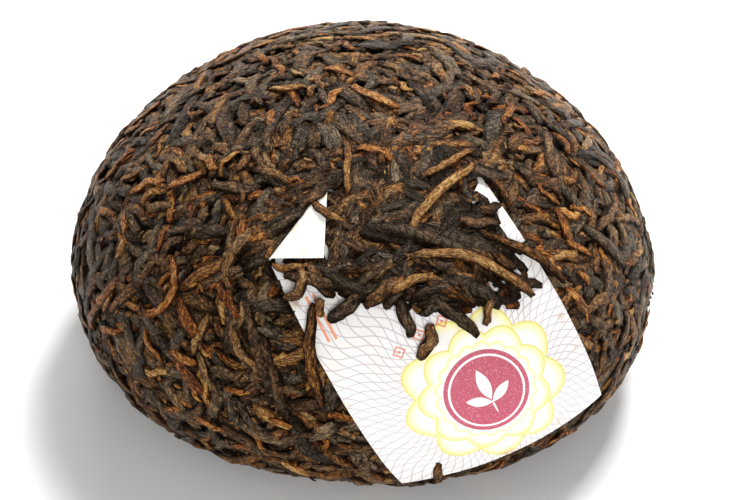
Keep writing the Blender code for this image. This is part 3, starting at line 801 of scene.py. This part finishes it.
def sort_by_paper(stations):
    """Whether each path lies over the paper, whether it stays, and how high the paper is there."""
    count = len(stations)
    parts = slip_coordinates(stations.reshape(-1, 3))
    across, along, close = [part.reshape(count, STATIONS) for part in parts]
    on_paper = close & (outside_paper(across, along) < 0)
    covered = along > leaf_line(across)
    over_paper = on_paper[:, MIDDLE] & covered[:, MIDDLE]
    out_of_cover = np.sum(on_paper & ~covered, axis=1) > 1
    left, low, high = BARE_STRIP
    in_strip = on_paper & (across > left) & (along > low) & (along < high)
    in_gap = np.hypot(across - BARE_GAP[0], along - BARE_GAP[1]) < BARE_GAP_RADIUS
    stray = out_of_cover | in_ear(across, along)[:, MIDDLE] | (in_strip | in_gap).any(axis=1)
    buried = ~over_paper & (np.sum(on_paper, axis=1) > STATIONS - 2)
    return over_paper, ~(over_paper & stray | buried), slip_height(along[:, MIDDLE])


# %% Drawing sizes, heights and tones
LENGTH_SKEW, WIDTH_SKEW = (1.5, 2.6), (2, 2.5)
WIDTH_BY_LENGTH, WIDTH_BY_CHANCE = 0.55, 0.6
FLATNESS = (0.35, 0.55)
BEARING_SPREAD, BEND_SPREAD = 0.55, 1.1
TILT_SPREAD, WAVE_SPREAD, ARCH_RANGE, ARCH_LENGTH = 0.1 * MM, 0.22 * MM, (0.1, 0.7), 8 * MM
PILE_RANGE = (0.45, 1.5)
GRAIN_TURN, GRAIN_SIZES = 2.2, (13 * MM, 6 * MM)
# Painted light: leaves that face back over the crown are drawn lighter and warmer, and those that
# face left darker, as the lamps fall on them.
PAINTED_REAR_LIGHT, PAINTED_REAR_WARMTH, PAINTED_LEFT_SHADE = 0.25, 0.2, 0.03


def grain(points):
    """The way that the press has combed the leaves: a bearing that drifts over the surface."""
    return sum(GRAIN_TURN * np.array([noise.noise(Vector(point) / size) for point in points])
               for size in GRAIN_SIZES)


def scatter(places, seed, length, width, kinds, tone, warmth, top):
    """Batches of leaves at places: ranges of size, shares of kinds, and how deep they lie."""
    draw = np.random.default_rng(seed)
    arc, azimuth = places
    count = len(arc)
    share = draw.beta(*LENGTH_SKEW, count)
    long = length[0] + (length[1] - length[0]) * share
    stout = WIDTH_BY_LENGTH * share + WIDTH_BY_CHANCE * draw.beta(*WIDTH_SKEW, count)
    wide = width[0] + (width[1] - width[0]) * np.clip(stout, 0, 1)
    thick = wide * draw.uniform(*FLATNESS, count)
    roll = draw.uniform(0, 2 * math.pi, count)
    bearing = grain(surface(arc, azimuth)) + draw.normal(0, BEARING_SPREAD, count)
    bend = draw.normal(0, BEND_SPREAD, count)
    rise = top[1] - (top[1] - top[0]) * draw.uniform(0, 1, count)
    tilt = draw.normal(0, TILT_SPREAD, count)
    arch = draw.uniform(*ARCH_RANGE, count) * MM * long / ARCH_LENGTH
    wave = draw.normal(0, WAVE_SPREAD, count)
    tones = np.stack((draw.normal(*tone, count), draw.normal(*warmth, count)), axis=1)
    outward = normal(arc, azimuth)
    # Painted light and shade: tone and warmth rise on leaves that face back and up, and tone falls
    # on leaves that face left.
    lit_behind_crown = np.maximum(outward[:, 1], 0) * np.maximum(outward[:, 2], 0)
    tones[:, 0] += PAINTED_REAR_LIGHT * lit_behind_crown - PAINTED_LEFT_SHADE * np.maximum(-outward[:, 0], 0)
    tones[:, 1] += PAINTED_REAR_WARMTH * lit_behind_crown

    paths = lay_paths(arc, azimuth, bearing, long, bend)
    over_paper, keep, paper = sort_by_paper(paths[0])
    pile = paper + draw.uniform(*PILE_RANGE, count) * MM
    lifts = np.stack((np.where(over_paper, pile, rise), tilt, arch, wave), axis=1)
    names = draw.choice([kind for kind, _ in kinds], count, p=[part for _, part in kinds])
    columns = (np.stack((long, wide, thick, roll), axis=1), lifts, tones, over_paper.astype(int))
    batches = []
    for kind, _ in kinds:
        chosen = keep & (names == kind)
        batches.append((kind, [path[chosen] for path in paths],
                        *[column[chosen] for column in columns]))
    return batches


# %% The small dark leaves, which are most of the cake
TWISTS = (("rolled", 0.36), ("rolled_tight", 0.18), ("folded", 0.26), ("rope", 0.06),
          ("broken", 0.14))


def lay(name, places, seed, finish, kinds, length, width, tone, warmth, top=(0, 0), **press):
    """One layer of leaves: ranges in mm, then the mean and the spread of tone and of warmth."""
    length, width, top = [np.array(ends) * MM for ends in (length, width, top)]
    batches = scatter(places, seed, length, width, kinds, tone, warmth, top)
    return join_leaves(name, batches, finish, **press)


for index in range(3):
    lay(f"dark_leaves_{index + 1}", all_over(1300, 100 + index), 110 + index, LEAF_FINISH, TWISTS,
        (4, 15), (1.2, 3.3), (0.46, 0.1), (0.24, 0.28), (-1.1, 0.1))

# %% The brown leaves, tan and reddish
lay("tan_leaves", all_over(560, 201), 211, LEAF_FINISH, TWISTS,
    (3.5, 11), (1.1, 2.5), (0.56, 0.1), (0.75, 0.25), (-1.0, 0.12))
lay("reddish_leaves", all_over(540, 222), 232, RUST_FINISH, TWISTS,
    (3.5, 10), (1.1, 2.3), (0.5, 0.1), (0.85, 0.25), (-1.0, 0.12))

# %% The leaves over the paper
lay("leaves_over_paper", over_the_paper(400, 251), 261, LEAF_FINISH, TWISTS,
    (4, 11), (1.2, 2.6), (0.31, 0.14), (0.32, 0.45), press=1.2 * MM)

# %% The rust and golden ones: buds, stems and torn edges
lay("rust_buds", all_over(420, 303), 313, RUST_FINISH,
    (("bud", 0.4), ("stem", 0.3), ("broken", 0.3)),
    (2.5, 9), (0.8, 1.8), (0.6, 0.1), (1.1, 0.1), (-0.7, 0.15))

# %% Crumbs in the gaps
lay("tea_crumbs", all_over(3000, 404), 414, LEAF_FINISH, (("crumb", 1.0),),
    (0.8, 2.6), (0.5, 1.3), (0.44, 0.14), (0.6, 0.35), (-0.7, -0.05))

# %% The leaves that the picture shows one by one
# Each has its model, width in mm, tone, warmth, height in mm, and the places that it passes. A
# height above CROSSES_FOLD marks one that lies over the folded corner, with a lift of its own.
CROSSES_FOLD = 1.2
FOLD_LIFT, FOLD_ARCH, LIFT_ON_PAPER, ARCH = 0.45, 0.5, 0.15, 0.3
THICKNESS_SHARE, ROLL_STEP, WAVE = 0.6, 1.7, 0.1
PLACED = (
    ("fine", 4, 0.36, 0.05, 1, 352, 232, 430, 238, 512, 266),
    ("stalk", 1.6, 0.66, 0.75, 1.1, 405, 259, 462, 258, 497, 272, 534, 299),
    ("stalk", 1.5, 0.7, 0.9, 0.9, 477, 166, 443, 190, 407, 237),
    ("stalk", 1.3, 0.6, 0.95, 0.7, 472, 149, 448, 166, 420, 177),
    ("fine", 1.5, 0.42, 0.8, 1, 474, 232, 520, 252, 564, 284),
    ("fine", 1.3, 0.42, 0.9, 0.6, 488, 176, 502, 192, 515, 214),
    ("fine", 1.6, 0.36, 0.6, 0.8, 474, 214, 488, 212, 500, 205),
    ("fine", 1.5, 0.32, 0.2, 0.8, 506, 248, 521, 250, 535, 243),
    ("stalk", 1.5, 0.62, 0.75, 1, 390, 294, 412, 283, 434, 275),
    ("fine", 1.8, 0.38, 0.15, 0.9, 412, 297, 445, 287, 476, 273),
    ("fine", 2, 0.4, 0.2, 0.8, 417, 297, 450, 312, 478, 337),
    ("fine", 1.8, 0.42, 0.15, 0.8, 397, 300, 405, 318, 411, 338),
    ("fine", 2, 0.58, 0.6, 0.8, 432, 324, 428, 342, 417, 359),
    ("fine", 2.1, 0.38, 0.15, 0.7, 361, 289, 346, 308, 328, 322),
    ("fine", 1.8, 0.42, 0.85, 0.6, 313, 302, 310, 336, 323, 410),
    ("fine", 3.3, 0.41, 0.35, 0.4, 238, 289, 256, 340, 287, 427),
    ("stalk", 1.3, 0.55, 0.75, 0.8, 486, 283, 487, 305, 484, 327),
    ("fine", 1.4, 0.6, 0.85, 0.7, 316, 299, 323, 317),
    ("fine", 1.4, 0.74, 1, 0.8, 502, 300, 518, 310),
    ("stalk", 1.3, 0.5, 0.7, 1.5, 311, 200, 324, 212, 337, 220, 352, 218),
    ("fine", 2.1, 0.46, 0.35, 1.4, 298, 211, 317, 193, 336, 173),
    ("fine", 1.9, 0.42, 0.15, 1.3, 258, 244, 284, 222, 309, 204),
    ("fine", 1.3, 0.6, 0.8, 0.5, 272, 265, 290, 267, 312, 263),
    ("fine", 1.7, 0.58, 0.55, 0.6, 282, 297, 301, 290, 303, 276, 289, 269),
    ("fine", 2, 0.45, 0.35, 0.6, 284, 272, 315, 280, 345, 286),
    ("fine", 2.3, 0.4, 0.2, 0.5, 385, 476, 405, 481, 424, 486),
    ("fine", 1.4, 0.5, 0.6, 0.9, 431, 481, 437, 471, 434, 459),
    ("stalk", 1.7, 0.76, 1, 0.4, 352, 83, 378, 98, 403, 106),
    ("fine", 1.5, 0.68, 1, 0.4, 323, 67, 340, 70, 356, 76),
    ("fine", 1.4, 0.72, 0.95, 0.4, 268, 89, 288, 88, 309, 86),
    ("fine", 1.8, 0.8, 0.9, 0.4, 437, 117, 460, 125, 485, 129),
    ("fine", 1.4, 0.66, 1, 0.4, 502, 122, 510, 112, 509, 102),
    ("stalk", 1.2, 0.6, 0.95, 0.5, 346, 140, 348, 168, 345, 196),
    ("fine", 1.6, 0.7, 1, 0.4, 357, 150, 377, 148, 393, 162),
    ("fine", 1.6, 0.74, 1, 0.4, 129, 191, 146, 184, 165, 178),
    ("fine", 1.5, 0.7, 1, 0.4, 166, 187, 184, 180, 202, 169),
    ("fine", 1.5, 0.66, 1, 0.4, 111, 172, 122, 158, 134, 148),
    ("stalk", 1.4, 0.6, 1, 0.3, 171, 255, 173, 290, 137, 315),
    ("fine", 1.5, 0.68, 1, 0.4, 536, 250, 562, 273),
    ("fine", 1.5, 0.62, 1, 0.4, 556, 209, 566, 230, 575, 249),
    ("fine", 1.4, 0.64, 0.55, 0.1, 612, 221, 626, 218, 640, 221),
    ("fine", 1.3, 0.72, 1, 0.4, 578, 272, 590, 285),
    ("fine", 1.6, 0.66, 1, 0.3, 167, 350, 196, 363),
    ("fine", 1.5, 0.64, 0.5, 0.3, 195, 352, 206, 372, 213, 395),
    ("fine", 1.7, 0.62, 0.55, 0.3, 229, 318, 240, 350, 271, 380),
)
batches, orange_batches = [], []
for number, (kind, width, tone, warmth, height, *places) in enumerate(PLACED):
    path = path_through(np.reshape(places, (-1, 2)))
    length = np.sum(np.linalg.norm(np.diff(path[0], axis=0), axis=1))
    across, along, close = slip_coordinates(path[0])
    stations_on_paper = np.sum(close & (outside_paper(across, along) < 0))
    side = OVER_FOLD if height > CROSSES_FOLD else OVER if stations_on_paper > 3 else UNDER
    over_fold, elsewhere = (FOLD_LIFT, FOLD_ARCH), (height + LIFT_ON_PAPER * side, ARCH)
    lift, arch = over_fold if side == OVER_FOLD else elsewhere
    size = (length, width * MM, width * MM * THICKNESS_SHARE, number * ROLL_STEP)
    lifts = (lift * MM, 0, arch * MM, WAVE * MM)
    tones = (tone + number * 1e-5, warmth)
    rows = [np.array([row]) for row in (size, lifts, tones, side)]
    batch = (kind, [part[None] for part in path], *rows)
    (orange_batches if warmth == 1 else batches).append(batch)
join_leaves("placed_leaves", batches, LEAF_FINISH, press=1.4 * MM)
join_leaves("placed_orange_leaves", orange_batches, RUST_FINISH)

# %% [markdown]
# ## The paper slip
# The slip is thin printed paper. It is modelled flat as a grid, cut along its fold so that the
# bend has edges to turn on, laid over the dome, and given its thickness. Its flat UV map carries
# the print, and its back is blank.

# %% The sheet
CRUMPLE_SIZE, CRUMPLE_HEIGHT = 7 * MM, 0.1 * MM

bpy.ops.mesh.primitive_grid_add(x_subdivisions=64, y_subdivisions=92, size=1)
slip = bpy.context.object
slip.name = "printed_slip"
bpy.ops.transform.resize(value=(SLIP_WIDTH, SLIP_LENGTH, 1))
bpy.ops.transform.translate(value=(0, (SLIP_ABOVE - SLIP_BELOW) / 2, 0))
bpy.ops.object.transform_apply(location=True, rotation=True, scale=True)
bpy.ops.object.mode_set(mode="EDIT")
for share in np.linspace(0, 1, 9):
    through = EAR_START + EAR_OUT * share * math.pi * EAR_BEND
    bpy.ops.mesh.select_all(action="SELECT")
    bpy.ops.mesh.bisect(plane_co=(*through, 0), plane_no=(*EAR_OUT, 0), threshold=0.000001)
bpy.ops.object.mode_set(mode="OBJECT")
flat = np.array([vertex.co for vertex in slip.data.vertices])
crumple = np.array([noise.noise(Vector((x, y, 0)) / CRUMPLE_SIZE) for x, y, _ in flat])
laid = folded(flat[:, 0], flat[:, 1], crumple * CRUMPLE_HEIGHT)
slip.data.vertices.foreach_set("co", laid.ravel())
slip.data.update()
face = slip.data.polygons[len(slip.data.polygons) // 3]
if np.dot(face.normal, normal(*nearest(np.array(face.center)))) < 0:
    slip.data.flip_normals()
print("slip has", len(slip.data.polygons), "faces")

# %% [markdown]
# The print is drawn from the flat coordinates in millimetres. Rays that leave the seal at two
# slants cross as the net, a distance from the seal that swells with the angle makes the scalloped
# rings, and the seal is a disc with a sprig of three leaves. The inks are thin, so the paper's
# fibres show through them.

# %% Coordinates on the print
page = Wiring("printed_paper")
uv = page.add("ShaderNodeUVMap", "UV", uv_map=slip.data.uv_layers.active.name)
u, v = [page.add("ShaderNodeSeparateXYZ", axis, {"Vector": uv}) for axis in "XY"]
u = (u - 0.5) * (SLIP_WIDTH / MM)
v = v * (SLIP_LENGTH / MM) - SLIP_BELOW / MM
SEAL = (1.0, -11.5)
dx, dy = u - SEAL[0], v - SEAL[1]
reach = page.math("SQRT", dx * dx + dy * dy)
angle = page.math("ARCTAN2", dy, dx)


def line_at(distance, half_width, soft=0.08):
    """One on a line, nothing beside it."""
    return distance.scaled(half_width, half_width + soft, 1.0, 0.0)


# %% The net and the scalloped rings
RAYS, RAY_WAVES, RAY_WAVE_DEPTH = 72, 0.9, 0.02


def rays(swirl):
    """Fine wavy lines that leave the seal at a slant."""
    wave = page.math("SINE", reach * RAY_WAVES) * RAY_WAVE_DEPTH
    turned = angle + page.math("LOGARITHM", reach, math.e) * swirl + wave
    between = page.math("PINGPONG", turned * (RAYS / (2 * math.pi)), 0.5)
    return line_at(between * (2 * math.pi / RAYS) * reach, 0.05)


def scallop(radius, lobes, depth, phase=0.0):
    """Distance outside a ring of rounded lobes."""
    swing = abs(page.math("SINE", angle * (lobes / 2) + phase))
    return reach - (swing * depth + radius)


def band(distance, width):
    """A soft band of colour that fades inwards from a ring's outline."""
    return distance.scaled(-0.05, 0.05, 1.0, 0.0) * distance.scaled(-width, 0.0)


outer, middle, inner = scallop(9.2, 9, 1.9), scallop(7.6, 9, 1.3, 1.2), scallop(6.4, 18, 0.5)
glow = band(outer, 1.7) | band(middle, 1.3) | band(inner, 0.7)
ring_lines = line_at(abs(outer), 0.1, 0.12) | line_at(abs(middle), 0.07, 0.12)
net = (rays(0.5) | rays(-0.35)) * outer.scaled(0.0, 0.1)

# %% The seal, the squares and the stripes
DISC_RADIUS, RIM_RADIUS, SQUARE_SIZE = 5.7, 5.0, 0.8
STRIPES, STRIPE_GAP, STRIPES_HALF_LENGTH = (-13.2, 7.0), 0.5, 3.5


def blade(foot, degrees, length, width):
    """A pointed leaf shape that starts over or under the seal's middle: one inside it."""
    c, s = math.cos(math.radians(degrees)), math.sin(math.radians(degrees))
    up = dy - foot
    far, off = dx * c + up * s, up * c - dx * s
    share = far / length
    return (share * (1.0 - share) * (4 * width) - abs(off)).scaled(0.0, 0.07)


def square(x, y):
    """The outline of a small square on its corner, with a dot in it."""
    spread = abs(u - x) + abs(v - y)
    return line_at(abs(spread - SQUARE_SIZE), 0.1) | line_at(spread, 0.2)


disc = line_at(reach, DISC_RADIUS)
white = (blade(-1.2, 90, 4.6, 0.85) | blade(-1.6, 28, 3.6, 0.7) | blade(-1.6, 152, 3.6, 0.7)
         | blade(-3.6, 90, 2.6, 0.16) | line_at(abs(reach - RIM_RADIUS), 0.1))
squares = square(-6.5, -1.5) | square(-3.2, -0.6) | square(0.2, -0.4)
stripes = line_at(abs(abs(u - STRIPES[0]) - STRIPE_GAP), 0.16)
stripes = stripes * line_at(abs(v - STRIPES[1]), STRIPES_HALF_LENGTH, 0.1)

# %% The inks on the paper
STAIN_INSET, STAIN_REACH = 0.8, 1.4
place = page.place()
fibres, smudge = page.noise(place, 2600, 3, 0.6), page.noise(place, 260, 3, 0.6)
thin_ink = page.noise(place, 5200, 1, 0.5).scaled(0.58, 0.68, 0.0, 0.45)
middle_v = (SLIP_ABOVE - SLIP_BELOW) / 2 / MM
edge = ((abs(u) - (SLIP_WIDTH / 2 / MM - STAIN_INSET))
        | (abs(v - middle_v) - (SLIP_LENGTH / 2 / MM - STAIN_INSET)))
stain = abs(edge).scaled(0.0, STAIN_REACH, 1.0, 0.0) * smudge.scaled(0.55, 0.7)
colour = page.mix(smudge.scaled(0.35, 0.75), (0.82, 0.80, 0.78), (0.77, 0.735, 0.68))
for share, ink in ((net * 0.6, (0.34, 0.25, 0.33)), (glow * 0.9, (0.88, 0.78, 0.20)),
                   (ring_lines * 0.75, (0.66, 0.53, 0.08)), (squares * 0.85, (0.66, 0.13, 0.05)),
                   (stripes * 0.85, (0.78, 0.25, 0.10)), (disc * 0.97, (0.41, 0.043, 0.088)),
                   (disc * thin_ink, (0.72, 0.38, 0.43)), (white * disc * 0.95, (0.90, 0.87, 0.86)),
                   (stain * 0.7, (0.42, 0.22, 0.09))):
    colour = page.mix(share, colour, ink)
page.to_shader(colour, fibres.scaled(0.3, 0.7, 0.55, 0.75), page.bump(fibres, 0.25, 0.05 * MM))
print("print has", len(page.tree.nodes), "nodes")

# %% The blank back, and the sheet's thickness
blank = Wiring("blank_paper")
place = blank.place()
fibres, smudge = blank.noise(place, 2600, 3, 0.6), blank.noise(place, 240, 3, 0.6)
blank_colours = ((0.35, (0.9, 0.885, 0.865)), (0.58, (0.86, 0.82, 0.74)), (0.7, (0.7, 0.56, 0.32)))
blank.to_shader(blank.ramp(smudge, blank_colours), fibres.scaled(0.3, 0.7, 0.6, 0.8),
                blank.bump(fibres, 0.25, 0.05 * MM))
slip.data.materials.append(page.material)
slip.data.materials.append(blank.material)
thick = slip.modifiers.new("paper", "SOLIDIFY")
thick.thickness, thick.offset, thick.material_offset, thick.material_offset_rim = PAPER, 0, 1, 1
bpy.context.view_layer.objects.active = slip
bpy.ops.object.modifier_apply(modifier=thick.name)
slip.data.shade_smooth()
slip.data.set_sharp_from_angle(angle=math.radians(40))
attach(slip, "root")
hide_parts("paper_slip")

# %% [markdown]
# ## Floor and light
# The cake stands on a plain white floor under soft light: a bright surround, a key lamp high
# behind its right shoulder, a weaker lamp lower behind it, and a low one in front that fills the
# shadows.

# %% Floor
bpy.ops.mesh.primitive_plane_add(size=4)
floor = bpy.context.object
floor.name = "floor"
white_floor = Wiring("white_floor")
white_floor.shader.inputs["Base Color"].default_value = (0.92, 0.92, 0.92, 1)
white_floor.shader.inputs["Roughness"].default_value = 0.9
floor.data.materials.append(white_floor.material)

# %% Lights
# Each lamp has its name, place in metres, size in metres and power in watts.
LAMPS = (("key_lamp", (0.15, 0.32, 0.48), 0.2, 5.4), ("back_lamp", (-0.05, 0.60, 0.28), 0.3, 1.5),
         ("fill_lamp", (0.10, -0.54, 0.17), 0.24, 2.2))
SURROUND = 0.36

for name, place, size, power in LAMPS:
    bpy.ops.object.light_add(type="AREA", location=place)
    lamp = bpy.context.object
    lamp.name = name
    lamp.data.size, lamp.data.energy = size, power
    lamp.rotation_euler = (Vector(TARGET) - Vector(place)).to_track_quat("-Z", "Y").to_euler()
world = bpy.data.worlds.new("bright_room")
bpy.context.scene.world = world
world.use_nodes = True
world.node_tree.nodes["Background"].inputs["Color"].default_value = (1, 1, 1, 1)
world.node_tree.nodes["Background"].inputs["Strength"].default_value = SURROUND
bpy.context.scene.view_settings.view_transform = "Standard"
